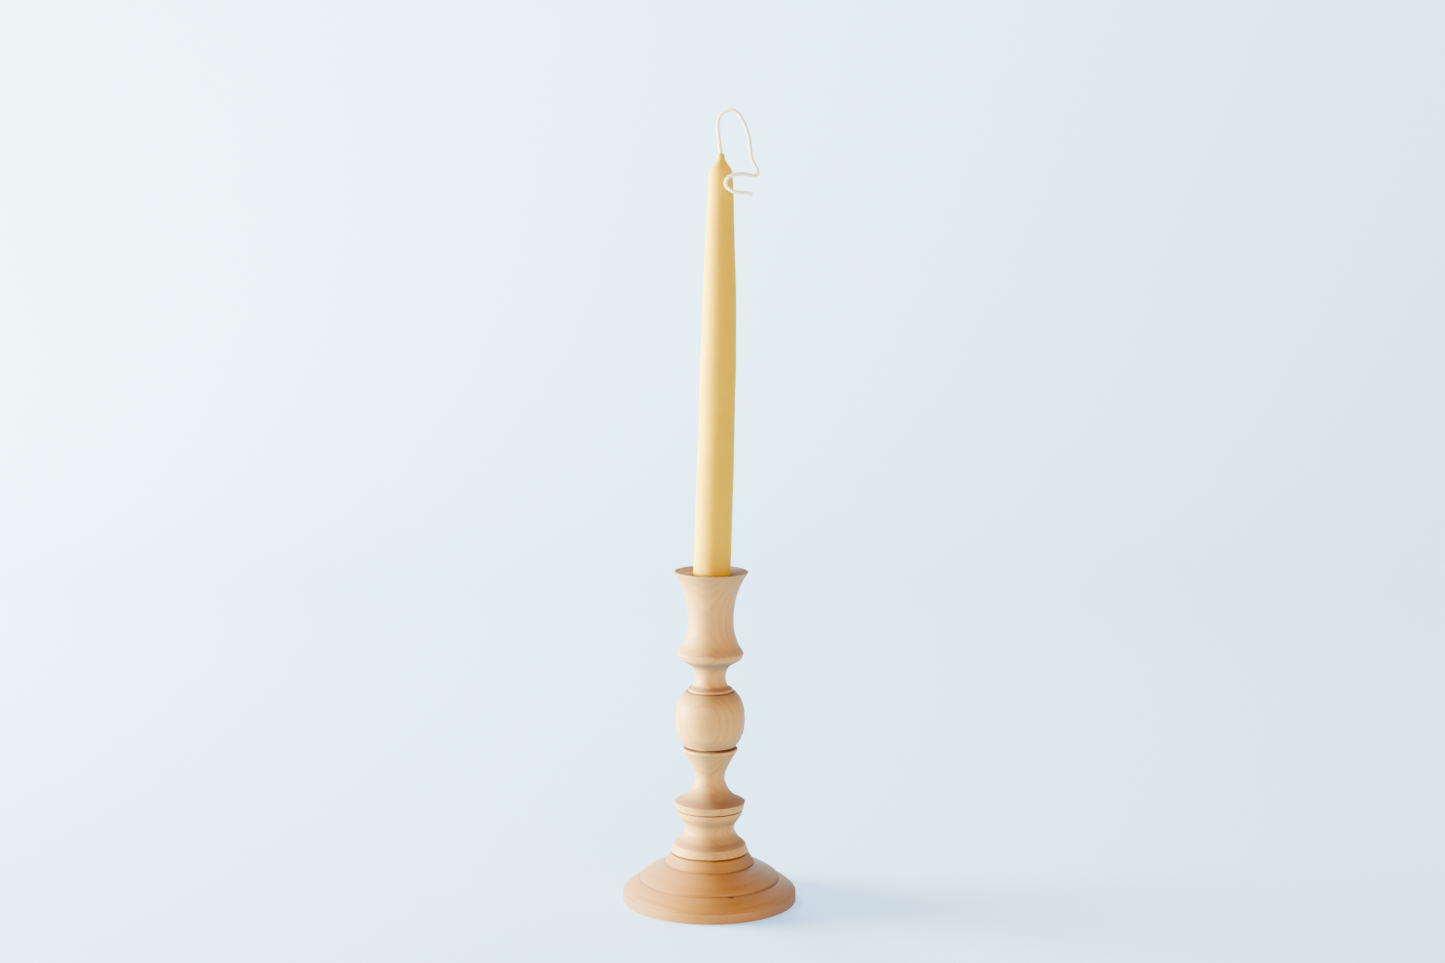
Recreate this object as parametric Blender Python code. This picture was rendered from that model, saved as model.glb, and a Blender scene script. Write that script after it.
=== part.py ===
"""A turned wooden candlestick that holds a leaning taper candle.

The frame is +Z up with its origin at the centre of the underside, on the turning axis. Lengths below are
in millimetres and become metres where a mesh or a curve is made. The wooden pieces are stacked on the
turning axis and pinned by two dowels. The candle stands in the socket and lifts straight out of it.
"""

import math

import bmesh
import bpy
from mathutils import Matrix, Vector

MM = 0.001

# Driving dimensions of the turnings
BASE_RADIUS = 51.5
FOOT_JOINT = 29.5
BEAD_JOINT = 55.4
BALL_JOINT = 93.1
BALL_CENTRE = 110.0
BALL_RADIUS = 20.5
BALL_HALF_HEIGHT = 21.0
BALL_SQUARENESS = 2.4
RIM_RADIUS = 22.0
RIM_HEIGHT = 198.4

# Socket, and the clearance that touching pieces keep
SOCKET_RADIUS = 11.75
SOCKET_FLOOR = 176.4
DISH_DEPTH = 1.9
GAP = 0.3

# Hidden dowels, each with the heights of its two ends
LOWER_DOWEL_RADIUS = 5.0
LOWER_DOWEL_ENDS = (14.0, 71.5)
UPPER_DOWEL_RADIUS = 4.0
UPPER_DOWEL_ENDS = (79.5, 108.0)
DOWEL_CHAMFER = 1.0

# Candle: height, sideways lean of the centre and radius, from the butt to the tip
CANDLE_STATIONS = (
    (SOCKET_FLOOR + GAP, 0.1, 10.3),
    (205.0, 0.8, 10.9),
    (262.0, 2.3, 10.8),
    (318.0, 3.4, 10.5),
    (360.0, 4.0, 9.8),
    (400.0, 4.2, 8.4),
    (423.0, 4.3, 7.3),
    (432.0, 4.4, 6.3),
    (436.5, 4.4, 3.4),
    (441.2, 4.4, 1.75),
)

# Wick: its radius, and the route of its free end from the tip of the wax
WICK_RADIUS = 1.2
WICK_ROUTE = (
    (4.4, 0.0, 441.5),
    (4.0, 0.0, 444.5),
    (3.0, 0.0, 452.0),
    (2.7, -0.5, 459.5),
    (4.8, -1.2, 463.8),
    (9.0, -2.2, 465.8),
    (13.0, -3.2, 464.8),
    (16.0, -4.2, 461.4),
    (18.6, -5.4, 455.8),
    (20.4, -6.4, 449.6),
    (21.3, -7.2, 443.3),
    (22.0, -7.9, 438.0),
    (24.0, -8.3, 434.4),
    (25.4, -8.5, 431.4),
    (24.9, -8.6, 428.9),
    (22.2, -8.6, 428.7),
    (18.0, -8.5, 429.6),
    (13.0, -8.5, 429.4),
    (9.2, -8.5, 428.0),
    (7.3, -8.5, 425.1),
    (8.0, -8.7, 422.3),
    (11.2, -9.1, 419.9),
    (15.4, -9.5, 419.0),
    (22.3, -9.9, 418.6),
)

# Fineness of the faceted solids
TURN_STEPS = 36
CURVE_STEPS = 2
BALL_STEPS = 10
LOFT_SEGMENTS = 24
SHARP_ANGLE = math.radians(32)


def clear_objects():
    for old in list(bpy.data.objects):
        bpy.data.objects.remove(old, do_unlink=True)


def linear(channel):
    """One sRGB channel, 0 to 255, as the linear value that a shader takes."""
    value = channel / 255
    return value / 12.92 if value <= 0.04045 else ((value + 0.055) / 1.055) ** 2.4


def finish_material(name, red, green, blue, roughness):
    material = bpy.data.materials.new(name)
    material.use_nodes = True
    shader = material.node_tree.nodes["Principled BSDF"]
    shader.inputs["Base Color"].default_value = (linear(red), linear(green), linear(blue), 1.0)
    shader.inputs["Roughness"].default_value = roughness
    shader.inputs["Metallic"].default_value = 0.0
    return material


def smooth_run(points, steps=CURVE_STEPS):
    """A smooth curve through all the points, with the given number of steps from each to the next."""
    knots = [Vector(point) for point in points]
    knots = [2 * knots[0] - knots[1]] + knots + [2 * knots[-1] - knots[-2]]
    run = []
    for before, start, end, after in zip(knots, knots[1:], knots[2:], knots[3:]):
        for step in range(steps):
            t = step / steps
            bend = 2 * before - 5 * start + 4 * end - after
            twist = 3 * start - before - 3 * end + after
            run.append(0.5 * (2 * start + (end - before) * t + bend * t ** 2 + twist * t ** 3))
    run.append(knots[-2])
    return [tuple(point) for point in run]


def add_object(name, data, parent, material):
    piece = bpy.data.objects.new(name, data)
    bpy.context.collection.objects.link(piece)
    piece.parent = parent
    data.materials.append(material)
    return piece


def body_empty(name):
    """The group of pieces that move as one, with its origin on the turning axis."""
    empty = bpy.data.objects.new(name, None)
    bpy.context.collection.objects.link(empty)
    return empty


def turned(name, outline, parent, material, bored=False):
    """One turning. Its outline runs down the outside; a bored one comes back up the hole and closes."""
    mesh = bpy.data.meshes.new(name)
    points = [(radius * MM, 0.0, height * MM) for radius, height in outline]
    edges = [(i, i + 1) for i in range(len(points) - 1)]
    if bored:
        edges.append((len(points) - 1, 0))
    mesh.from_pydata(points, edges, [])
    piece = add_object(name, mesh, parent, material)
    lathe = piece.modifiers.new("Lathe", "SCREW")
    lathe.steps = lathe.render_steps = TURN_STEPS
    lathe.use_merge_vertices = True
    lathe.merge_threshold = 0.00001
    lathe.use_smooth_shade = True
    return piece


def blind_hole(radius, mouth, floor):
    """Outline of a round hole on the axis, from the wall at its mouth to the centre of its floor."""
    return [(radius, mouth), (radius, floor), (0.0, floor)]


def base_outline():
    """Rim, two stepped shoulders and a collar, with the lower dowel's hole in the top."""
    top = FOOT_JOINT - GAP / 2
    hole = blind_hole(LOWER_DOWEL_RADIUS + GAP, top, LOWER_DOWEL_ENDS[0] - GAP)
    collar = [(22.9, top), (23.2, top - 0.3), (26.8, 23.2)]
    upper_shoulder = smooth_run([(27.0, 23.1), (32.2, 20.5), (37.4, 17.6), (41.3, 14.8)])
    lower_shoulder = smooth_run([(41.6, 13.9), (46.2, 10.9), (49.9, 8.2), (51.2, 6.8)])
    rim = [(BASE_RADIUS, 6.0), (BASE_RADIUS, 0.5), (BASE_RADIUS - 0.5, 0.0), (0.0, 0.0)]
    return hole[::-1] + collar + upper_shoulder + lower_shoulder + rim


def pedestal_outline():
    """Fillet, waist and flared foot, bored right through for the lower dowel."""
    top = BEAD_JOINT - GAP / 2
    bottom = FOOT_JOINT + GAP / 2
    bore = LOWER_DOWEL_RADIUS + GAP
    waist = smooth_run([(18.3, 51.2), (15.3, 46.8), (14.8, 42.6), (17.3, 38.2), (20.6, 35.2), (21.3, 34.3)])
    foot = [(21.4, 33.8), (23.0, bottom + 0.3), (22.7, bottom), (bore, bottom)]
    return [(bore, top), (19.5, top), (19.8, top - 0.3)] + waist + foot


def baluster_outline():
    """Flange at the top, long waist and a sharp skirt, with a dowel hole in each end."""
    top = BALL_JOINT - GAP / 2
    bottom = BEAD_JOINT + GAP / 2
    upper_hole = blind_hole(UPPER_DOWEL_RADIUS + GAP, top, UPPER_DOWEL_ENDS[0] - GAP)
    lower_hole = blind_hole(LOWER_DOWEL_RADIUS + GAP, bottom, LOWER_DOWEL_ENDS[1] + GAP)
    flange = [(13.2, top), (15.6, 92.6), (16.2, 92.0), (16.3, 91.2), (15.9, 90.2)]
    waist = smooth_run([(14.9, 88.9), (11.3, 82.4), (8.85, 75.5), (10.3, 68.8), (14.6, 63.6), (20.6, 60.3)])
    skirt = [(21.0, 59.8), (20.0, bottom + 0.3), (19.7, bottom)]
    return upper_hole[::-1] + flange + waist + skirt + lower_hole


def ball_outline():
    """A ball a little squarer than round, cut off where it meets the bead and the joint."""
    top = BALL_CENTRE + 16.4
    bottom = BALL_JOINT + 0.9
    run = []
    for step in range(BALL_STEPS + 1):
        height = top + (bottom - top) * step / BALL_STEPS
        part = abs(height - BALL_CENTRE) / BALL_HALF_HEIGHT
        radius = BALL_RADIUS * (1 - part ** BALL_SQUARENESS) ** (1 / BALL_SQUARENESS)
        run.append((radius, height))
    return run


def cup_outline():
    """Socket, dished rim, bell, neck, bead and ball in one turning."""
    socket = [(0.0, SOCKET_FLOOR), (SOCKET_RADIUS, SOCKET_FLOOR), (SOCKET_RADIUS, RIM_HEIGHT - DISH_DEPTH - 0.6),
              (SOCKET_RADIUS + 0.6, RIM_HEIGHT - DISH_DEPTH)]
    rim = [(RIM_RADIUS - 0.4, RIM_HEIGHT)]
    bell = smooth_run([(RIM_RADIUS, RIM_HEIGHT - 0.4), (18.3, 191.4), (15.2, 183.2), (13.6, 172.5),
                       (14.0, 163.0), (16.2, 155.5), (19.3, 150.2)])
    neck = smooth_run([(19.4, 148.7), (17.8, 145.7), (12.0, 142.2), (9.5, 138.6), (8.95, 134.5),
                       (10.0, 130.5), (11.8, 128.7)])
    bead = [(12.8, 128.5), (13.2, 127.7), (13.0, 126.8)]
    floor = BALL_JOINT + GAP / 2
    hole = blind_hole(UPPER_DOWEL_RADIUS + GAP, floor, UPPER_DOWEL_ENDS[1] + GAP)
    return socket + rim + bell + neck + bead + ball_outline() + [(13.2, floor)] + hole


def dowel_outline(radius, ends):
    """A plain peg with both ends chamfered."""
    low, high = ends
    return [(0.0, high), (radius - DOWEL_CHAMFER, high), (radius, high - DOWEL_CHAMFER),
            (radius, low + DOWEL_CHAMFER), (radius - DOWEL_CHAMFER, low), (0.0, low)]


def candle_curve():
    """The candle's height, lean and radius, read from a smooth curve through its stations."""
    return smooth_run(CANDLE_STATIONS)


def candle_wax(parent, material):
    """Leaning taper with a channel for the wick: loops run up the outside and back down the channel."""
    outside = [(height, lean, radius) for height, lean, radius in candle_curve()]
    channel = [(height, lean, WICK_RADIUS + GAP) for height, lean, _ in reversed(outside)]
    bm = bmesh.new()
    loops = []
    for height, lean, radius in outside + channel:
        place = Matrix.Translation((lean * MM, 0.0, height * MM))
        ring = bmesh.ops.create_circle(bm, segments=LOFT_SEGMENTS, radius=radius * MM, matrix=place)
        loops.append(ring["verts"])
    for lower, upper in zip(loops, loops[1:] + loops[:1]):
        for i in range(LOFT_SEGMENTS):
            j = (i + 1) % LOFT_SEGMENTS
            bm.faces.new((lower[i], lower[j], upper[j], upper[i]))
    bmesh.ops.recalc_face_normals(bm, faces=bm.faces)
    mesh = bpy.data.meshes.new("candle_wax")
    bm.to_mesh(mesh)
    bm.free()
    mesh.shade_smooth()
    mesh.set_sharp_from_angle(angle=SHARP_ANGLE)
    return add_object("candle_wax", mesh, parent, material)


def cord(name, points, parent, material):
    """A round cord along points, with closed ends."""
    curve = bpy.data.curves.new(name, "CURVE")
    curve.dimensions = "3D"
    curve.bevel_depth = WICK_RADIUS * MM
    curve.bevel_resolution = 2
    curve.use_fill_caps = True
    spline = curve.splines.new("POLY")
    spline.points.add(len(points) - 1)
    for point, (x, y, z) in zip(spline.points, points):
        point.co = (x * MM, y * MM, z * MM, 1.0)
    return add_object(name, curve, parent, material)


def build():
    clear_objects()
    stand = body_empty("stand")
    candle = body_empty("candle")
    base_wood = finish_material("waxed_maple_foot", 205, 158, 112, 0.42)
    stem_wood = finish_material("waxed_maple_stem", 216, 178, 134, 0.42)
    dowel_wood = finish_material("birch_dowel", 214, 188, 148, 0.6)
    wax = finish_material("yellow_wax", 232, 176, 72, 0.38)
    cotton = finish_material("primed_cotton", 226, 218, 200, 0.8)

    turned("turned_base", base_outline(), stand, base_wood)
    turned("pedestal_turning", pedestal_outline(), stand, stem_wood, bored=True)
    turned("baluster_turning", baluster_outline(), stand, stem_wood)
    turned("cup_turning", cup_outline(), stand, stem_wood)
    turned("lower_dowel", dowel_outline(LOWER_DOWEL_RADIUS, LOWER_DOWEL_ENDS), stand, dowel_wood)
    turned("upper_dowel", dowel_outline(UPPER_DOWEL_RADIUS, UPPER_DOWEL_ENDS), stand, dowel_wood)

    candle_wax(candle, wax)
    core = [(lean, 0.0, height) for height, lean, _ in candle_curve()]
    cord("wick_core", core, candle, cotton)
    cord("wick_end", smooth_run(WICK_ROUTE), candle, cotton)


build()
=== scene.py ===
"""Looks of a turned maple candlestick with a leaning, hand-dipped taper in its cup.

Outlines are in millimetres: radius, then height above the underside of the piece. A third number rounds
the corner.
"""

import math

import bpy
from mathutils import Matrix, Vector


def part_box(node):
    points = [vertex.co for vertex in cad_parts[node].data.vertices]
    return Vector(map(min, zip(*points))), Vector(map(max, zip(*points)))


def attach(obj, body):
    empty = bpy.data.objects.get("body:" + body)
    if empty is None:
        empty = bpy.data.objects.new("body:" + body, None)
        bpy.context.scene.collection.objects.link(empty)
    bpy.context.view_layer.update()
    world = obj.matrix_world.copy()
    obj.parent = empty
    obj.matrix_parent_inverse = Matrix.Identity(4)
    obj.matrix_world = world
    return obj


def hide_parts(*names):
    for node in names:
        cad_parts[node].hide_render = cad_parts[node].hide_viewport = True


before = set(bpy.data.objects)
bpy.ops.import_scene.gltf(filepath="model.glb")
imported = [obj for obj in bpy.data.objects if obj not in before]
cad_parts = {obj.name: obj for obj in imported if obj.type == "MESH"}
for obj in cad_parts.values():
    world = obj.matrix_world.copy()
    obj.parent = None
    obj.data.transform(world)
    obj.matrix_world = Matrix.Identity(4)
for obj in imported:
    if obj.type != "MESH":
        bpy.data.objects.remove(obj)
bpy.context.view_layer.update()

MM = 0.001
FULL_TURN = math.tau
LATHE_STEPS = 192
RUN_STEPS = 8
EASE_STEPS = 4
SMOOTH_ANGLE = math.radians(32)
WELD = 0.000001


# ---------------------------------------------------------------- helpers

def linear(channel):
    return channel / 12.92 if channel <= 0.04045 else ((channel + 0.055) / 1.055) ** 2.4


def colour(hex_value):
    """An sRGB hex colour as the linear colour that a shader takes."""
    channels = (int(hex_value[i:i + 2], 16) / 255 for i in (1, 3, 5))
    return (*(linear(channel) for channel in channels), 1.0)


def add(material, kind, values=None, links=None, **settings):
    """Adds a node with its settings, its sockets' values and the links into it."""
    node = material.node_tree.nodes.new(kind)
    for name, value in settings.items():
        setattr(node, name, value)
    for socket, value in (values or {}).items():
        node.inputs[socket].default_value = value
    for socket, source in (links or {}).items():
        material.node_tree.links.new(source, node.inputs[socket])
    return node


def new_material(name):
    material = bpy.data.materials.new(name)
    material.use_nodes = True
    return material, material.node_tree.nodes["Principled BSDF"]


def smooth_run(points, steps=RUN_STEPS):
    """A smooth curve through all the points."""
    knots = [Vector(point) for point in points]
    knots = [2 * knots[0] - knots[1]] + knots + [2 * knots[-1] - knots[-2]]
    run = []
    for before, start, end, after in zip(knots, knots[1:], knots[2:], knots[3:]):
        for step in range(steps):
            t = step / steps
            bend = 2 * before - 5 * start + 4 * end - after
            twist = 3 * start - before - 3 * end + after
            run.append(0.5 * (2 * start + (end - before) * t + bend * t ** 2 + twist * t ** 3))
    run.append(knots[-2])
    return [tuple(point) for point in run]


def eased(outline):
    """Rounds the corners that carry a third number, which is how far each rounding reaches."""
    points = []
    for before, corner, after in zip(outline[-1:] + outline, outline, outline[1:] + outline[:1]):
        here = Vector(corner[:2])
        reach = corner[2] if len(corner) > 2 else 0.0
        if reach == 0.0:
            points.append(here)
            continue
        start = here + (Vector(before[:2]) - here).normalized() * reach
        end = here + (Vector(after[:2]) - here).normalized() * reach
        for step in range(EASE_STEPS + 1):
            t = step / EASE_STEPS
            points.append(start.lerp(here, t).lerp(here.lerp(end, t), t))
    return points


def name_new(name):
    """Names the piece that was just made, and its mesh."""
    piece = bpy.context.object
    piece.name = name
    piece.data.name = name
    return piece


def turned(name, node, body, outline, material, closed=False):
    """Draws half an outline point by point, then turns it on the lathe axis into a solid.

    A closed outline has no point on the axis, so the solid is bored through.
    """
    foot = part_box(node)[0].z
    points = [Vector((radius * MM, 0.0, foot + height * MM)) for radius, height in eased(outline)]
    if closed:
        points.append(points[0])
    bpy.ops.object.select_all(action="DESELECT")
    bpy.ops.mesh.primitive_plane_add(size=MM, location=points[0])
    piece = name_new(name)
    bpy.ops.object.mode_set(mode="EDIT")
    bpy.ops.mesh.select_all(action="SELECT")
    bpy.ops.mesh.merge(type="CENTER")
    for start, end in zip(points, points[1:]):
        bpy.ops.mesh.extrude_vertices_move(TRANSFORM_OT_translate={"value": end - start})
    bpy.ops.mesh.select_all(action="SELECT")
    bpy.ops.mesh.spin(steps=LATHE_STEPS, angle=FULL_TURN, center=(0, 0, 0), axis=(0, 0, 1))
    bpy.ops.mesh.select_all(action="SELECT")
    bpy.ops.mesh.remove_doubles(threshold=WELD)
    bpy.ops.mesh.normals_make_consistent(inside=False)
    bpy.ops.object.mode_set(mode="OBJECT")
    bpy.ops.object.transform_apply(location=True)
    bpy.ops.object.shade_smooth_by_angle(angle=SMOOTH_ANGLE)
    piece.data.materials.append(material)
    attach(piece, body)
    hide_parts(node)
    return piece


# ---------------------------------------------------------------- camera

CAMERA_PLACE = (0.0064, -1.4, 0.4299)
CAMERA_DOWN = math.radians(7.27)
CAMERA_ROLL = math.radians(0.33)
CAMERA_LENS = 60.17


def add_camera():
    data = bpy.data.cameras.new("Camera")
    data.lens = CAMERA_LENS
    data.sensor_width = 36.0
    camera = bpy.data.objects.new("Camera", data)
    bpy.context.scene.collection.objects.link(camera)
    turn = Matrix.Rotation(math.pi / 2 - CAMERA_DOWN, 3, "X") @ Matrix.Rotation(CAMERA_ROLL, 3, "Z")
    camera.rotation_euler = turn.to_euler()
    camera.location = CAMERA_PLACE
    bpy.context.scene.camera = camera


# ---------------------------------------------------------------- wood

MM_IN_METRE = 1000
END_GRAIN = "#7F5A3E"
# Colour of the painted shade in creases and under overhangs
PAINTED_CREASE_SHADE = "#4E2A0C"
MINERAL_STREAK = (0.0128, -0.0404, 0.0131)
ACROSS_GRAIN = (1.0, 1.0, 0.0)
DRAWN_OUT = (1.0, 1.0, 0.14)
RING_SWAY = 3.0


def growth_rings(material, grain, drawn_out, ring_width):
    """Shells around the pith that darken slowly to a late-wood line, and no two years alike."""
    # Distance from the pith in mm, pushed about by noise some 14 mm across
    sway = add(material, "ShaderNodeTexNoise", {"Scale": 0.07, "Detail": 2.0},
               {"Vector": drawn_out.outputs[0]})
    across = add(material, "ShaderNodeVectorMath", {1: ACROSS_GRAIN}, {0: grain.outputs[0]},
                 operation="MULTIPLY")
    distance = add(material, "ShaderNodeVectorMath", None, {0: across.outputs[0]}, operation="LENGTH")
    swayed = add(material, "ShaderNodeMath", {1: RING_SWAY},
                 {0: sway.outputs[0], 2: distance.outputs["Value"]}, operation="MULTIPLY_ADD")
    count = add(material, "ShaderNodeMath", {1: ring_width}, {0: swayed.outputs[0]}, operation="DIVIDE")
    within = add(material, "ShaderNodeMath", None, {0: count.outputs[0]}, operation="FRACT")
    number = add(material, "ShaderNodeMath", None, {0: count.outputs[0]}, operation="FLOOR")
    rise = add(material, "ShaderNodeMapRange", {"From Min": 0.2, "From Max": 0.9},
               {"Value": within.outputs[0]}, interpolation_type="SMOOTHSTEP")
    fall = add(material, "ShaderNodeMapRange",
               {"From Min": 0.9, "From Max": 1.0, "To Min": 1.0, "To Max": 0.0},
               {"Value": within.outputs[0]}, interpolation_type="SMOOTHSTEP")
    late_wood = add(material, "ShaderNodeMath", None, {0: rise.outputs[0], 1: fall.outputs[0]},
                    operation="MULTIPLY")
    year = add(material, "ShaderNodeTexWhiteNoise", None, {"W": number.outputs[0]}, noise_dimensions="1D")
    year_depth = add(material, "ShaderNodeMapRange", {"To Min": 0.35, "To Max": 1.0},
                     {"Value": year.outputs[0]})
    return add(material, "ShaderNodeMath", None, {0: late_wood.outputs[0], 1: year_depth.outputs[0]},
               operation="MULTIPLY")


def wood_fibres(material, grain):
    """Fibres 0.3 mm wide and 8 mm long."""
    stretched = add(material, "ShaderNodeVectorMath", {1: (3.2, 3.2, 0.12)}, {0: grain.outputs[0]},
                    operation="MULTIPLY")
    return add(material, "ShaderNodeTexNoise", {"Scale": 1.0, "Detail": 3.0, "Roughness": 0.6},
               {"Vector": stretched.outputs[0]})


def ray_flecks(material, grain):
    """Short dashes about 0.4 by 1.7 mm."""
    stretched = add(material, "ShaderNodeVectorMath", {1: (2.4, 2.4, 0.6)}, {0: grain.outputs[0]},
                    operation="MULTIPLY")
    fleck = add(material, "ShaderNodeTexNoise", {"Scale": 1.0, "Detail": 0.0},
                {"Vector": stretched.outputs[0]})
    return add(material, "ShaderNodeMapRange", {"From Min": 0.66, "From Max": 0.74},
               {"Value": fleck.outputs[0]})


def side_grain(material, grain, fibre, pale, dark, ring_width, figure):
    """Colour along the grain: rings, fibres, flecks and a broad cloudiness each darken the pale wood."""
    drawn_out = add(material, "ShaderNodeVectorMath", {1: DRAWN_OUT}, {0: grain.outputs[0]},
                    operation="MULTIPLY")
    ring = growth_rings(material, grain, drawn_out, ring_width)
    streak = add(material, "ShaderNodeMapRange", {"From Min": 0.38, "From Max": 0.68},
                 {"Value": fibre.outputs[0]})
    fleck = ray_flecks(material, grain)
    # Clouds are some 25 mm across
    cloud = add(material, "ShaderNodeTexNoise", {"Scale": 0.04, "Detail": 2.0},
                {"Vector": drawn_out.outputs[0]})
    darkness = add(material, "ShaderNodeMath", {1: figure}, {0: ring.outputs[0]}, operation="MULTIPLY")
    for mark, weight in ((streak, 0.25), (fleck, 0.14), (cloud, 0.35)):
        darkness = add(material, "ShaderNodeMath", {1: weight},
                       {0: mark.outputs[0], 2: darkness.outputs[0]}, operation="MULTIPLY_ADD")
    depth = add(material, "ShaderNodeMapRange", {"From Min": 0.15, "From Max": 1.05},
                {"Value": darkness.outputs[0]})
    return add(material, "ShaderNodeMix", {6: colour(pale), 7: colour(dark)}, {0: depth.outputs[0]},
               data_type="RGBA")


def end_grain(material, place, turn):
    """How much the surface faces along the grain, where the wood drinks the wax."""
    facing = add(material, "ShaderNodeMapping", {"Rotation": turn}, {"Vector": place.outputs["Normal"]},
                 vector_type="VECTOR")
    along = add(material, "ShaderNodeSeparateXYZ", None, {0: facing.outputs[0]})
    steep = add(material, "ShaderNodeMath", None, {0: along.outputs["Z"]}, operation="ABSOLUTE")
    return add(material, "ShaderNodeMapRange", {"From Min": 0.2, "From Max": 1.0},
               {"Value": steep.outputs[0]}, interpolation_type="SMOOTHSTEP")


def painted_crease_shade(material, thirsty):
    """Painted shade: darkens creases up to 10 mm across by how closed in they are, most of all on end grain.
    """
    reach = add(material, "ShaderNodeAmbientOcclusion", {"Distance": 0.01}, samples=8, only_local=True)
    crease = add(material, "ShaderNodeMapRange", {"From Min": 0.95, "From Max": 0.5},
                 {"Value": reach.outputs["AO"]})
    # The painted shade is deeper where the surface is end grain
    end_grain_share = add(material, "ShaderNodeMapRange", {"To Min": 0.35, "To Max": 0.9},
               {"Value": thirsty.outputs[0]})
    return add(material, "ShaderNodeMath", None, {0: crease.outputs[0], 1: end_grain_share.outputs[0]},
               operation="MULTIPLY")


def sanded_surface(material, place, fibre):
    """Lathe lines 0.5 mm apart around the axis, over fibres raised by some hundredths of a millimetre."""
    height = add(material, "ShaderNodeSeparateXYZ", None, {0: place.outputs["Object"]})
    flat = add(material, "ShaderNodeVectorMath", {1: (1.0, 1.0, 0.0)}, {0: place.outputs["Object"]},
               operation="MULTIPLY")
    radius = add(material, "ShaderNodeVectorMath", None, {0: flat.outputs[0]}, operation="LENGTH")
    path = add(material, "ShaderNodeMath", {1: 0.7}, {0: height.outputs["Z"], 2: radius.outputs["Value"]},
               operation="MULTIPLY_ADD")
    lathe_line = add(material, "ShaderNodeTexNoise", {"Scale": 2000.0, "Detail": 1.0},
                     {"W": path.outputs[0]}, noise_dimensions="1D")
    relief = add(material, "ShaderNodeMath", {1: 0.35}, {0: lathe_line.outputs[0], 2: fibre.outputs[0]},
                 operation="MULTIPLY_ADD")
    return add(material, "ShaderNodeBump", {"Strength": 0.25, "Distance": 0.00005},
               {"Height": relief.outputs[0]})


def maple(name, pale, dark, turn, pith, ring_width, figure, gloss):
    """Waxed maple, turned and sanded: close, pale wood with soft rings and hair-fine fibres.

    The grain runs along the turned z axis, in mm, around a pith line. End grain is darker and greyer.
    The satin sheen comes from the wax on top.
    """
    material, shader = new_material(name)
    place = add(material, "ShaderNodeTexCoord")
    grain = add(material, "ShaderNodeMapping",
                {"Location": pith, "Rotation": turn, "Scale": (MM_IN_METRE, MM_IN_METRE, MM_IN_METRE)},
                {"Vector": place.outputs["Object"]})
    fibre = wood_fibres(material, grain)
    along_grain = side_grain(material, grain, fibre, pale, dark, ring_width, figure)
    thirsty = end_grain(material, place, turn)
    stained = add(material, "ShaderNodeMix", {7: colour(END_GRAIN)},
                  {0: thirsty.outputs[0], 6: along_grain.outputs[2]}, data_type="RGBA")
    # Painted shade: closed-in places such as under the roll, beside the bead and at the foot's steps are
    # darkened
    crease_shade = painted_crease_shade(material, thirsty)
    crease_shaded = add(material, "ShaderNodeMix", {7: colour(PAINTED_CREASE_SHADE)},
                {0: crease_shade.outputs[0], 6: stained.outputs[2]}, data_type="RGBA")
    material.node_tree.links.new(crease_shaded.outputs[2], shader.inputs["Base Color"])

    # A little rougher along the fibres, and matt on the thirsty end grain
    satin = add(material, "ShaderNodeMapRange", {"To Min": 0.4, "To Max": 0.58}, {"Value": fibre.outputs[0]})
    rough = add(material, "ShaderNodeMath", {1: 0.4}, {0: thirsty.outputs[0], 2: satin.outputs[0]},
                operation="MULTIPLY_ADD")
    material.node_tree.links.new(rough.outputs[0], shader.inputs["Roughness"])
    shader.inputs["IOR"].default_value = 1.5
    shader.inputs["Specular IOR Level"].default_value = gloss
    relief = sanded_surface(material, place, fibre)
    material.node_tree.links.new(relief.outputs[0], shader.inputs["Normal"])
    return material


def stem_maple():
    """Spindle stock: the grain runs up the axis, with the pith 50 mm behind and a little to the right."""
    return maple("waxed_maple_spindle", pale="#B98645", dark="#8A5C2C", turn=(0, 0, math.radians(13)),
                 pith=(0, -50, 0), ring_width=2.35, figure=0.34, gloss=0.15)


def foot_maple():
    """Board stock for the foot: the grain runs from left to right, with the pith 180 mm below."""
    material = maple("waxed_maple_board", pale="#9C6629", dark="#714617", turn=(0, -math.pi / 2, 0),
                     pith=(-180, 20, 0), ring_width=2.9, figure=0.26, gloss=0.2)
    shader = material.node_tree.nodes["Principled BSDF"]
    plain = shader.inputs["Base Color"].links[0].from_socket
    # One dark mineral streak, 5.5 by 0.8 mm, under the step at the front
    place = add(material, "ShaderNodeTexCoord")
    offset = add(material, "ShaderNodeVectorMath", {1: MINERAL_STREAK}, {0: place.outputs["Object"]},
                 operation="SUBTRACT")
    shape = add(material, "ShaderNodeVectorMath", {1: (360, 700, 2400)}, {0: offset.outputs[0]},
                operation="MULTIPLY")
    away = add(material, "ShaderNodeVectorMath", None, {0: shape.outputs[0]}, operation="LENGTH")
    clear = add(material, "ShaderNodeMapRange", {"From Min": 0.5, "From Max": 1.1},
                {"Value": away.outputs["Value"]})
    marked = add(material, "ShaderNodeMix", {6: colour("#4A3018")}, {0: clear.outputs[0], 7: plain},
                 data_type="RGBA")
    material.node_tree.links.new(marked.outputs[2], shader.inputs["Base Color"])
    return material


def birch():
    """Machined dowel rod, raw and pale."""
    return maple("raw_birch_dowel", pale="#D2A868", dark="#AA7C40", turn=(0, 0, 0),
                 pith=(25, 0, 0), ring_width=1.8, figure=0.3, gloss=0.15)


# ---------------------------------------------------------------- wax and wick

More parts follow.
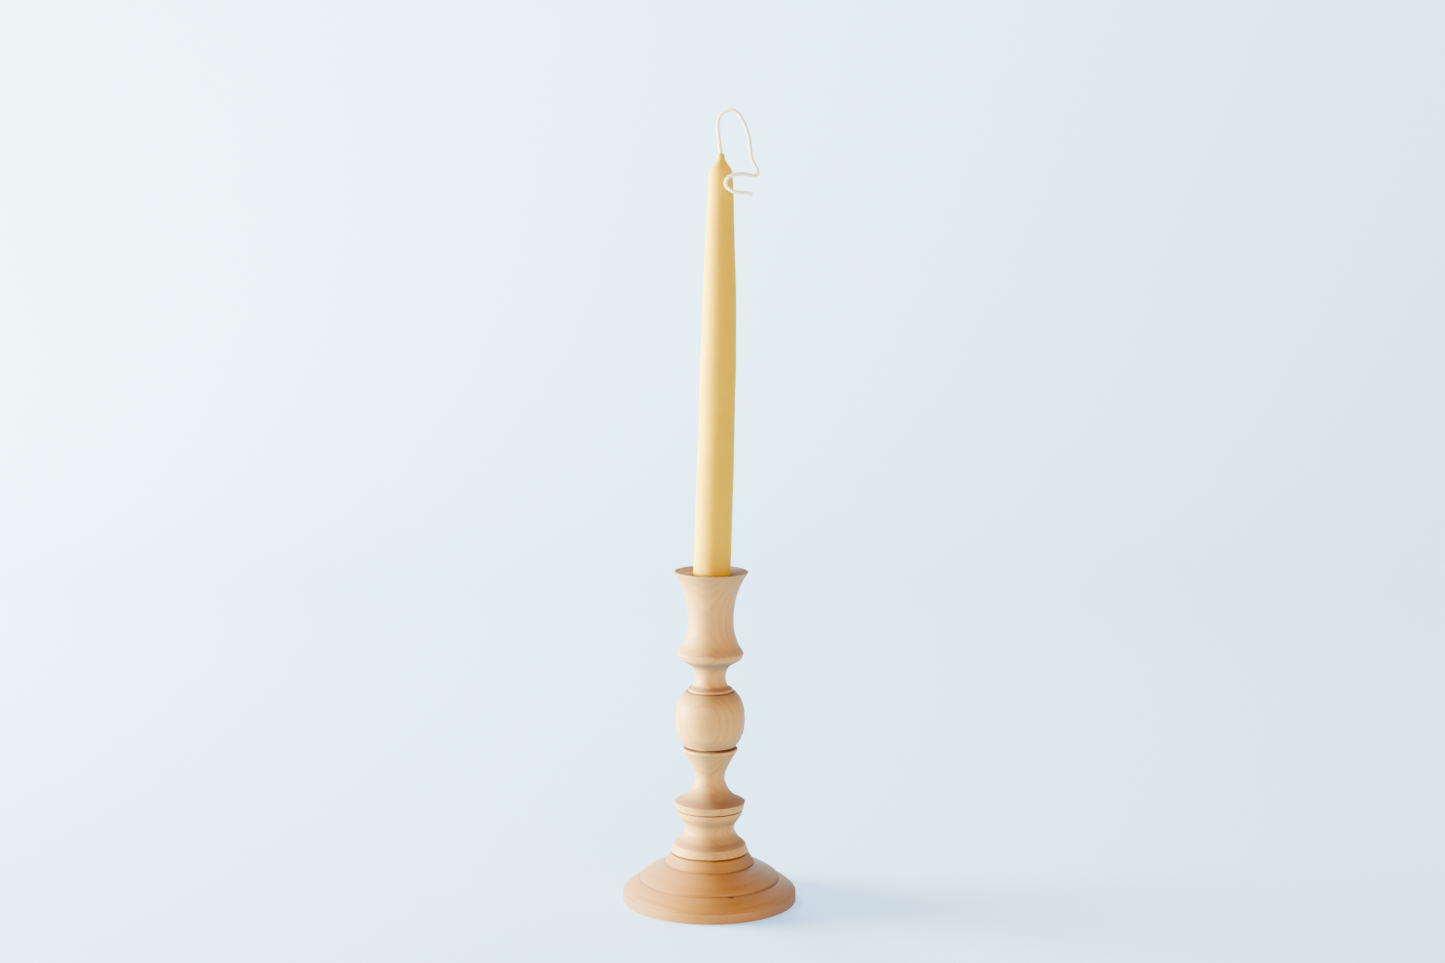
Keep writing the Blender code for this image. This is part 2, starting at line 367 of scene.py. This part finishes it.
def dipped_wax():
    """Yellow paraffin and stearin, hand dipped: light soaks a few millimetres in and glows orange."""
    material, shader = new_material("dipped_yellow_wax")
    place = add(material, "ShaderNodeTexCoord")
    cloud = add(material, "ShaderNodeTexNoise", {"Scale": 60.0, "Detail": 3.0},
                {"Vector": place.outputs["Object"]})
    tint = add(material, "ShaderNodeMix", {6: colour("#C69D00"), 7: colour("#BE9500")},
               {0: cloud.outputs[0]}, data_type="RGBA")
    material.node_tree.links.new(tint.outputs[2], shader.inputs["Base Color"])
    shader.inputs["Roughness"].default_value = 0.45
    shader.inputs["IOR"].default_value = 1.44
    shader.inputs["Specular IOR Level"].default_value = 0.04
    shader.inputs["Subsurface Weight"].default_value = 1.0
    shader.inputs["Subsurface Radius"].default_value = (1.0, 0.7, 0.3)
    shader.inputs["Subsurface Scale"].default_value = 0.008
    # Dipping leaves soft runs some 5 mm wide and 13 mm long, under a fine skin
    runs = add(material, "ShaderNodeMapping", {"Scale": (1.0, 1.0, 0.35)},
               {"Vector": place.outputs["Object"]})
    skin = add(material, "ShaderNodeTexNoise", {"Scale": 220.0, "Detail": 4.0}, {"Vector": runs.outputs[0]})
    bump = add(material, "ShaderNodeBump", {"Strength": 0.3, "Distance": 0.0002},
               {"Height": skin.outputs[0]})
    material.node_tree.links.new(bump.outputs[0], shader.inputs["Normal"])
    return material


def primed_cotton():
    """Braided cotton primed in clear wax: off-white with a soft sheen, and yellow next to the candle."""
    material, shader = new_material("primed_cotton_wick")
    place = add(material, "ShaderNodeTexCoord")
    height = add(material, "ShaderNodeSeparateXYZ", None, {0: place.outputs["Object"]})
    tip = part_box("candle_wax")[1].z
    from_tip = add(material, "ShaderNodeMapRange", {"From Min": tip, "From Max": tip + 0.009},
                   {"Value": height.outputs["Z"]}, interpolation_type="SMOOTHSTEP")
    # The free end hangs as low as the tip but well to the side of it, and has no yellow on it
    across = add(material, "ShaderNodeVectorMath", {1: (1.0, 1.0, 0.0)}, {0: place.outputs["Object"]},
                 operation="MULTIPLY")
    from_stem = add(material, "ShaderNodeVectorMath", {1: (0.0035, 0.0, 0.0)}, {0: across.outputs[0]},
                    operation="DISTANCE")
    beside = add(material, "ShaderNodeMapRange", {"From Min": 0.002, "From Max": 0.004},
                 {"Value": from_stem.outputs["Value"]})
    clean = add(material, "ShaderNodeMath", None, {0: from_tip.outputs[0], 1: beside.outputs[0]},
                operation="MAXIMUM")
    # Cotton fibres 0.3 mm apart
    fibre = add(material, "ShaderNodeTexNoise", {"Scale": 3500.0, "Detail": 2.0},
                {"Vector": place.outputs["Object"]})
    cotton = add(material, "ShaderNodeMix", {6: colour("#F2E4C0"), 7: colour("#CDBA8E")},
                 {0: fibre.outputs[0]}, data_type="RGBA")
    tinted = add(material, "ShaderNodeMix", {6: colour("#F3C866")},
                 {0: clean.outputs[0], 7: cotton.outputs[2]}, data_type="RGBA")
    material.node_tree.links.new(tinted.outputs[2], shader.inputs["Base Color"])
    shader.inputs["Roughness"].default_value = 0.55
    shader.inputs["IOR"].default_value = 1.46
    bump = add(material, "ShaderNodeBump", {"Strength": 0.2, "Distance": 0.00004},
               {"Height": fibre.outputs[0]})
    material.node_tree.links.new(bump.outputs[0], shader.inputs["Normal"])
    return material


# ---------------------------------------------------------------- wick

# Route of the wick from the tip of the wax to its cut end
WICK_ROUTE = (
    (4.4, 0.0, 441.5),
    (4.0, 0.0, 444.5),
    (3.0, 0.0, 452.0),
    (2.7, -0.5, 459.5),
    (4.8, -1.2, 463.8),
    (9.0, -2.2, 465.8),
    (13.0, -3.2, 464.8),
    (16.0, -4.2, 461.4),
    (18.6, -5.4, 455.8),
    (20.4, -6.4, 449.6),
    (21.3, -7.2, 443.3),
    (22.0, -7.9, 438.0),
    (24.0, -8.3, 434.4),
    (25.4, -8.5, 431.4),
    (24.9, -8.6, 428.9),
    (22.2, -8.6, 428.7),
    (18.0, -8.5, 429.6),
    (13.0, -8.5, 429.4),
    (9.2, -8.5, 428.0),
    (7.3, -8.5, 425.1),
    (8.0, -8.7, 422.3),
    (11.2, -9.1, 419.9),
    (15.4, -9.5, 419.0),
    (22.3, -9.9, 418.6),
)
# The braid, in mm: each strand swings this far across and in depth, once and twice in every pitch
STRANDS = 3
STRAND_RADIUS = 0.76
BRAID_PITCH = 4.8
BRAID_WIDTH = 0.4
BRAID_DEPTH = 0.32
BRAID_STEP = 0.3
# At its cut end the braid opens by this much more, over this length
SPLAY = 0.7
SPLAY_LENGTH = 2.5


def even_points(points, spacing):
    """The same line with points at an even spacing, in mm."""
    result = [points[0]]
    left = spacing
    for start, end in zip(points, points[1:]):
        span = (end - start).length
        while span >= left:
            start = start.lerp(end, left / span)
            result.append(start)
            span = (end - start).length
            left = spacing
        left -= span
    return result


def travelling_frames(points):
    """A pair of cross directions at each point, carried along the line without twisting."""
    side = Vector((0, 1, 0))
    frames = []
    for i, point in enumerate(points):
        ahead = (points[min(i + 1, len(points) - 1)] - points[max(i - 1, 0)]).normalized()
        side = (side - ahead * side.dot(ahead)).normalized()
        frames.append((side, ahead.cross(side)))
    return frames


def strand_curve(points, name):
    """A round strand along the points, as a curve with closed ends."""
    data = bpy.data.curves.new(name, "CURVE")
    data.dimensions = "3D"
    data.bevel_depth = STRAND_RADIUS * MM
    data.bevel_resolution = 2
    data.use_fill_caps = True
    spline = data.splines.new("POLY")
    spline.points.add(len(points) - 1)
    for target, point in zip(spline.points, points):
        target.co = (*(point * MM), 1.0)
    strand = bpy.data.objects.new(name, data)
    bpy.context.scene.collection.objects.link(strand)
    return strand


def braided_wick(material):
    """Three strands that pass over and under one another along the route, splayed at the cut end."""
    route = [Vector(point) for point in smooth_run(WICK_ROUTE)]
    centre = even_points(route, BRAID_STEP)
    frames = travelling_frames(centre)
    length = sum((end - start).length for start, end in zip(route, route[1:]))
    strands = []
    for strand in range(STRANDS):
        points = []
        for i, (point, (side, up)) in enumerate(zip(centre, frames)):
            along = i * BRAID_STEP
            phase = FULL_TURN * (along / BRAID_PITCH + strand / STRANDS)
            splay = 1.0 + SPLAY * max(0.0, 1.0 - (length - along) / SPLAY_LENGTH)
            points.append(point + side * math.sin(2 * phase) * BRAID_DEPTH * splay
                          + up * math.sin(phase) * BRAID_WIDTH * splay)
        strands.append(strand_curve(points, f"strand_{strand}"))
    bpy.ops.object.select_all(action="DESELECT")
    for strand in strands:
        strand.select_set(True)
    bpy.context.view_layer.objects.active = strands[0]
    bpy.ops.object.convert(target="MESH")
    bpy.ops.object.join()
    wick = name_new("braided_wick")
    bpy.ops.object.shade_smooth_by_angle(angle=SMOOTH_ANGLE)
    wick.data.materials.clear()
    wick.data.materials.append(material)
    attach(wick, "candle")
    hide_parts("wick_end")


# ---------------------------------------------------------------- turnings

DOWEL_HOLE = 5.3
UPPER_DOWEL_HOLE = 4.3


def foot_outline():
    """Vertical rim, two stepped shoulders and a collar. Heights are above the table."""
    hole = [(0.0, 13.7), (DOWEL_HOLE, 13.7), (DOWEL_HOLE, 29.35)]
    collar = [(20.4, 29.35), (23.0, 28.85, 0.15), (26.6, 23.5, 0.25), (26.2, 22.7, 0.3)]
    upper_shoulder = smooth_run([(27.3, 22.5), (32.2, 20.5), (37.4, 17.6), (40.2, 15.7)])
    step = [(41.35, 14.5, 0.3), (41.2, 13.1, 0.4)]
    lower_shoulder = smooth_run([(42.3, 13.1), (46.2, 10.9), (49.6, 8.3), (50.8, 7.0)])
    rim = [(50.9, 6.5, 0.2), (51.5, 6.1, 0.3), (51.5, 0.0, 0.7), (0.0, 0.0)]
    return hole + collar + upper_shoulder + step + lower_shoulder + rim


def pedestal_outline():
    """Fillet, waist and flared foot, bored through."""
    top = 25.6
    fillet = [(DOWEL_HOLE, top), (18.9, top), (19.75, top - 0.25, 0.1), (18.5, top - 4.0, 0.3)]
    waist = smooth_run([(18.3, 21.5), (15.3, 17.1), (14.8, 12.9), (17.3, 8.5), (20.4, 5.7)])
    foot = [(21.4, 4.7, 0.35), (21.5, 4.2, 0.15), (22.95, 0.45, 0.15), (20.4, 0.0), (DOWEL_HOLE, 0.0)]
    return fillet + waist + foot


def baluster_outline():
    """Rolled flange, long waist, sharp skirt and fillet, with a dowel hole in each end."""
    top = 37.4
    upper_hole = [(0.0, 23.6), (UPPER_DOWEL_HOLE, 23.6), (UPPER_DOWEL_HOLE, top)]
    flange = [(10.8, top), (11.0, 37.1), (16.3, 37.1, 0.8), (16.4, 35.6, 0.6), (15.2, 33.9, 0.5)]
    waist = smooth_run([(14.9, 33.4), (11.3, 26.9), (8.85, 20.0), (10.3, 13.3), (14.6, 8.1), (19.9, 5.1)])
    skirt = [(21.1, 4.5, 0.4), (20.05, 0.25, 0.1), (19.0, 0.0)]
    lower_hole = [(DOWEL_HOLE, 0.0), (DOWEL_HOLE, 16.3), (0.0, 16.3)]
    return upper_hole + flange + waist + skirt + lower_hole


BALL_RADIUS = 20.55
BALL_HALF_HEIGHT = 21.0
BALL_SQUARENESS = 2.4
BALL_MIDDLE = 16.75
BALL_STEPS = 48


def ball_run(top, bottom):
    """The ball's side between two heights: a little squarer than round."""
    run = []
    for step in range(BALL_STEPS + 1):
        height = top + (bottom - top) * step / BALL_STEPS
        part = abs(height - BALL_MIDDLE) / BALL_HALF_HEIGHT
        run.append((BALL_RADIUS * (1 - part ** BALL_SQUARENESS) ** (1 / BALL_SQUARENESS), height))
    return run


def cup_outline():
    """Socket, dished rim, bell, roll, neck, bead and ball."""
    socket = [(0.0, 83.15), (11.75, 83.15), (11.75, 102.6, 0.5), (12.6, 103.3, 0.5)]
    rim = [(21.4, 105.15, 0.3), (22.0, 104.75, 0.25)]
    bell = smooth_run([(21.9, 104.5), (18.3, 98.15), (15.2, 89.95), (13.6, 79.25), (14.0, 69.75),
                       (16.2, 62.25), (19.0, 57.4)])
    roll = [(19.55, 56.5, 0.6), (19.5, 55.6, 0.5)]
    neck = smooth_run([(19.1, 54.6), (17.7, 52.4), (12.0, 48.95), (9.5, 45.35), (8.95, 41.25),
                       (10.0, 37.25), (11.7, 35.6)])
    bead = [(12.0, 35.2), (12.9, 35.3, 0.3), (13.3, 34.3, 0.4), (13.0, 33.5, 0.2)]
    scribe = [(15.75, 1.95), (15.5, 1.8), (15.55, 1.6)]
    skirt = [(15.3, 0.75, 0.3), (11.2, 0.55), (11.0, 0.0)]
    hole = [(UPPER_DOWEL_HOLE, 0.0), (UPPER_DOWEL_HOLE, 15.05), (0.0, 15.05)]
    return socket + rim + bell + roll + neck + bead + ball_run(33.2, 2.1) + scribe + skirt + hole


# ---------------------------------------------------------------- candle

# Sideways lean, height above the table and radius
CANDLE_STATIONS = (
    (0.1, 177.3, 10.4),
    (0.4, 190.0, 10.8),
    (0.8, 205.0, 10.93),
    (1.3, 222.0, 10.9),
    (1.7, 240.0, 10.88),
    (2.25, 260.0, 10.85),
    (2.8, 277.0, 10.5),
    (3.1, 300.0, 10.5),
    (3.4, 318.0, 10.6),
    (3.8, 334.0, 10.15),
    (4.0, 352.0, 9.95),
    (4.1, 372.0, 9.35),
    (4.1, 388.0, 8.7),
    (4.2, 404.0, 8.15),
    (4.4, 418.0, 7.6),
    (4.3, 426.0, 7.2),
    (4.4, 431.5, 6.5),
    (4.5, 434.6, 4.7),
    (4.5, 437.2, 2.8),
    (4.4, 441.2, 1.9),
)
CANDLE_SIDES = 96
CHANNEL_RADIUS = 1.45


def dipped_taper(material):
    """Rings drawn up the outside of the taper and back down the channel that the wick fills."""
    outside = smooth_run(CANDLE_STATIONS, 6)
    butt = outside[0]
    channel = [(lean, height, CHANNEL_RADIUS) for lean, height, _ in reversed(outside)]
    underside = [(butt[0], butt[1] - 0.6, CHANNEL_RADIUS), (butt[0], butt[1] - 0.6, butt[2] - 0.8)]
    rings = outside + channel + underside
    lean, height, radius = rings[0]
    bpy.ops.object.select_all(action="DESELECT")
    bpy.ops.mesh.primitive_circle_add(vertices=CANDLE_SIDES, radius=radius * MM,
                                      location=(lean * MM, 0, height * MM))
    candle = name_new("dipped_taper")
    bpy.ops.object.mode_set(mode="EDIT")
    bpy.ops.mesh.select_all(action="SELECT")
    for old, new in zip(rings, rings[1:] + rings[:1]):
        shift = ((new[0] - old[0]) * MM, 0, (new[1] - old[1]) * MM)
        growth = new[2] / old[2]
        bpy.ops.mesh.extrude_edges_move(TRANSFORM_OT_translate={"value": shift})
        bpy.ops.transform.resize(value=(growth, growth, 1), center_override=(new[0] * MM, 0, new[1] * MM))
    bpy.ops.mesh.select_all(action="SELECT")
    bpy.ops.mesh.remove_doubles(threshold=WELD)
    bpy.ops.mesh.normals_make_consistent(inside=False)
    bpy.ops.object.mode_set(mode="OBJECT")
    bpy.ops.object.transform_apply(location=True)
    bpy.ops.object.shade_smooth_by_angle(angle=SMOOTH_ANGLE)
    candle.data.materials.append(material)
    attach(candle, "candle")
    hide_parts("candle_wax")


# ---------------------------------------------------------------- studio

def lit_acrylic():
    """Milky acrylic lit from below: bright, pale blue and with hardly a shadow on it."""
    material, shader = new_material("milky_acrylic_table")
    shader.inputs["Base Color"].default_value = colour("#B9DEFF")
    shader.inputs["Roughness"].default_value = 0.9
    shader.inputs["Emission Color"].default_value = colour("#8CC4FF")
    shader.inputs["Emission Strength"].default_value = 1.15
    return material


TABLE_WIDTH = 8.0
TABLE_BACK = 1.1
SWEEP_RADIUS = 1.3
SWEEP_STEPS = 24
WALL_HEIGHT = 3.0


def seamless_sweep(material):
    """A table top that lies flat and curves up behind into a wall."""
    bpy.ops.object.select_all(action="DESELECT")
    bpy.ops.mesh.primitive_plane_add(size=TABLE_WIDTH, location=(0, TABLE_BACK - TABLE_WIDTH / 2, 0))
    sweep = name_new("seamless_sweep")
    bpy.ops.object.transform_apply(location=True)
    bpy.ops.object.mode_set(mode="EDIT")
    bpy.ops.mesh.select_mode(type="EDGE")
    bpy.ops.mesh.select_all(action="DESELECT")
    bpy.ops.object.mode_set(mode="OBJECT")
    for edge in sweep.data.edges:
        edge.select = all(sweep.data.vertices[i].co.y > TABLE_BACK - WELD for i in edge.vertices)
    bpy.ops.object.mode_set(mode="EDIT")
    for step in range(SWEEP_STEPS):
        start, end = (math.pi / 2 * i / SWEEP_STEPS for i in (step, step + 1))
        back = SWEEP_RADIUS * (math.sin(end) - math.sin(start))
        up = SWEEP_RADIUS * (math.cos(start) - math.cos(end))
        bpy.ops.mesh.extrude_edges_move(TRANSFORM_OT_translate={"value": (0, back, up)})
    bpy.ops.mesh.extrude_edges_move(TRANSFORM_OT_translate={"value": (0, 0, WALL_HEIGHT)})
    bpy.ops.mesh.select_all(action="SELECT")
    bpy.ops.mesh.normals_make_consistent(inside=False)
    bpy.ops.object.mode_set(mode="OBJECT")
    bpy.ops.object.shade_smooth()
    sweep.data.materials.append(material)


def area_light(name, place, target, size, power, hex_value):
    data = bpy.data.lights.new(name, "AREA")
    data.shape = "RECTANGLE"
    data.size, data.size_y = size
    data.energy = power
    data.color = colour(hex_value)[:3]
    light = bpy.data.objects.new(name, data)
    bpy.context.scene.collection.objects.link(light)
    light.location = place
    light.rotation_euler = (Vector(target) - Vector(place)).to_track_quat("-Z", "Y").to_euler()


def studio_light():
    """A long, low window on the left, a wash on the table behind and a warm, dim room."""
    area_light("window", (-2.4, 0.3, 0.32), (0, 0, 0.2), (1.5, 0.5), 1150.0, "#F6FFDE")
    area_light("backdrop_wash", (-0.8, 0.6, 1.8), (-0.3, 2.4, 0.4), (1.5, 1.0), 11.0, "#F4F8FF")
    area_light("skylight", (-0.9, 1.15, 1.6), (0, 0, 0.1), (0.45, 0.45), 30.0, "#FFFFFF")
    area_light("front_fill", (0.7, -2.4, 0.7), (0, 0, 0.2), (2.0, 1.2), 90.0, "#FFDCB8")
    world = bpy.data.worlds.new("warm_room")
    bpy.context.scene.world = world
    world.use_nodes = True
    background = world.node_tree.nodes["Background"]
    background.inputs["Color"].default_value = colour("#FFE2BC")
    direction = add(world, "ShaderNodeTexCoord")
    height = add(world, "ShaderNodeSeparateXYZ", None, {0: direction.outputs["Generated"]})
    # The walls are pale and the ceiling is dark
    strength = add(world, "ShaderNodeMapRange", {"From Max": 0.8, "To Min": 1.3, "To Max": 0.3},
                   {"Value": height.outputs["Z"]})
    world.node_tree.links.new(strength.outputs[0], background.inputs["Strength"])


# ---------------------------------------------------------------- build

add_camera()
cotton_finish = primed_cotton()
braided_wick(cotton_finish)

stem_finish = stem_maple()
foot_finish = foot_maple()
birch_finish = birch()
wax_finish = dipped_wax()

turned("turned_foot", "turned_base", "stand", foot_outline(), foot_finish)
turned("pedestal", "pedestal_turning", "stand", pedestal_outline(), stem_finish, closed=True)
turned("baluster", "baluster_turning", "stand", baluster_outline(), stem_finish)
turned("cup_and_ball", "cup_turning", "stand", cup_outline(), stem_finish)
dipped_taper(wax_finish)

for node in ("lower_dowel", "upper_dowel"):
    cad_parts[node].data.materials.clear()
    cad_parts[node].data.materials.append(birch_finish)
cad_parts["wick_core"].data.materials.clear()
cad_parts["wick_core"].data.materials.append(cotton_finish)

seamless_sweep(lit_acrylic())
studio_light()
